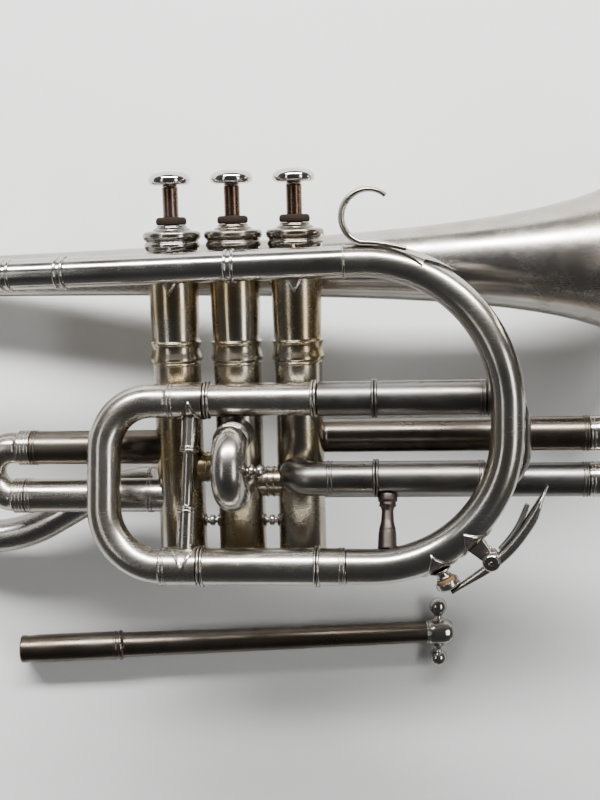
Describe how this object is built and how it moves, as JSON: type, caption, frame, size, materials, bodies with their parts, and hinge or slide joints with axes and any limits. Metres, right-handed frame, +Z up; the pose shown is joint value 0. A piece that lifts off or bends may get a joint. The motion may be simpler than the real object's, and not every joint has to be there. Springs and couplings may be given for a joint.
{
  "type": "cornet",
  "caption": "Short silver-plated cornet with piston valves lying on its side, with working slides and water key, and a loose mouthpipe shank beside it.",
  "frame": {"origin": "on the table under the middle of the object's box", "axes": "+X towards the bell mouth, +Y from the bottom caps to the valve buttons, +Z up from the table the instrument lies on"},
  "size_m": [0.372, 0.2544, 0.1237],
  "materials": {
    "silver_plate": "aged satin silver plate with grey and brown tarnish",
    "brassy_plate": "worn silver plate with brass showing through",
    "bright_plate": "polished silver plate, rubbed bright by use",
    "stem_bronze": "reddish brown oxidised stem",
    "dark_bronze": "dark brown tarnish",
    "spring_steel": "dull spring steel",
    "piston_nickel": "lapped nickel plate",
    "felt": "dark brown felt",
    "cork": "tan cork"
  },
  "bodies": {
    "instrument": {"casing_1": "brassy_plate", "valve_spring_1": "spring_steel", "top_cap_1": "silver_plate", "bottom_cap_1": "silver_plate", "cap_felt_1": "felt", "casing_2": "brassy_plate", "valve_spring_2": "spring_steel", "top_cap_2": "silver_plate", "bottom_cap_2": "silver_plate", "cap_felt_2": "felt", "casing_3": "brassy_plate", "valve_spring_3": "spring_steel", "top_cap_3": "silver_plate", "bottom_cap_3": "silver_plate", "cap_felt_3": "felt", "transfer_tube_12": "brassy_plate", "ball_brace_12": "silver_plate", "transfer_tube_23": "brassy_plate", "ball_brace_23": "silver_plate", "bell": "silver_plate", "bell_bow": "silver_plate", "leadpipe": "silver_plate", "mouthpipe_receiver": "silver_plate", "front_bow": "silver_plate", "tuning_upper_sleeve": "silver_plate", "tuning_lower_sleeve": "silver_plate", "front_slide_upper_sleeve": "silver_plate", "front_slide_lower_sleeve": "silver_plate", "lower_brace": "dark_bronze", "third_slide_upper_sleeve": "silver_plate", "third_slide_lower_sleeve": "silver_plate", "first_slide_upper_sleeve": "silver_plate", "first_slide_lower_sleeve": "silver_plate", "second_slide_upper_sleeve": "silver_plate", "second_slide_lower_sleeve": "silver_plate", "leadpipe_brace_1": "silver_plate", "leadpipe_brace_3": "silver_plate", "finger_hook": "silver_plate", "water_key_saddle": "silver_plate", "water_key_pin": "spring_steel"},
    "valve_1": {"piston_1": "piston_nickel", "stem_1": "stem_bronze", "button_1": "bright_plate"},
    "valve_2": {"piston_2": "piston_nickel", "stem_2": "stem_bronze", "button_2": "bright_plate"},
    "valve_3": {"piston_3": "piston_nickel", "stem_3": "stem_bronze", "button_3": "bright_plate"},
    "tuning_slide": {"tuning_crook": "silver_plate", "tuning_brace": "silver_plate"},
    "front_slide": {"front_crook": "silver_plate"},
    "first_slide": {"first_crook": "silver_plate"},
    "second_slide": {"second_crook": "silver_plate"},
    "third_slide": {"third_crook": "bright_plate"},
    "water_key": {"water_key_lever": "silver_plate", "water_key_cork": "cork", "water_key_spring": "spring_steel"},
    "loose_shank": {"shank_tube": "silver_plate", "shank_collar": "silver_plate"}
  },
  "joints": [
    {"name": "valve_1_press", "type": "slide", "parent": "instrument", "child": "valve_1", "axis": [0, -1, 0], "range_m": [0, 0.012], "stiffness_N_per_m": 200, "springref_m": -0.016, "deforming": ["valve_spring_1"]},
    {"name": "valve_2_press", "type": "slide", "parent": "instrument", "child": "valve_2", "axis": [0, -1, 0], "range_m": [0, 0.012], "stiffness_N_per_m": 200, "springref_m": -0.016, "deforming": ["valve_spring_2"]},
    {"name": "valve_3_press", "type": "slide", "parent": "instrument", "child": "valve_3", "axis": [0, -1, 0], "range_m": [0, 0.012], "stiffness_N_per_m": 200, "springref_m": -0.016, "deforming": ["valve_spring_3"]},
    {"name": "tuning_slide_pull", "type": "slide", "parent": "instrument", "child": "tuning_slide", "axis": [-0.9877, 0, -0.1564], "range_m": [0, 0.035]},
    {"name": "front_slide_pull", "type": "slide", "parent": "instrument", "child": "front_slide", "axis": [0.9877, 0, 0.1564], "range_m": [0, 0.03]},
    {"name": "first_slide_pull", "type": "slide", "parent": "instrument", "child": "first_slide", "axis": [-0.9877, 0, -0.1564], "range_m": [0, 0.03]},
    {"name": "second_slide_pull", "type": "slide", "parent": "instrument", "child": "second_slide", "axis": [-0.1564, 0, 0.9877], "range_m": [0, 0.011]},
    {"name": "third_slide_pull", "type": "slide", "parent": "instrument", "child": "third_slide", "axis": [0.9877, 0, 0.1564], "range_m": [0, 0.05]},
    {"name": "water_key_lift", "type": "hinge", "parent": "instrument", "child": "water_key", "pos_m": [0.08847, -0.04578, 0.10693], "axis": [-0.1564, 0, 0.9877], "range_deg": [0, 12], "stiffness_Nm_per_rad": 0.06, "springref_deg": -22.92, "deforming": ["water_key_spring"]},
    {"name": "shank_lift", "type": "slide", "parent": "instrument", "child": "loose_shank", "axis": [0, 0, 1], "range_m": [0, 0.1]}
  ]
}
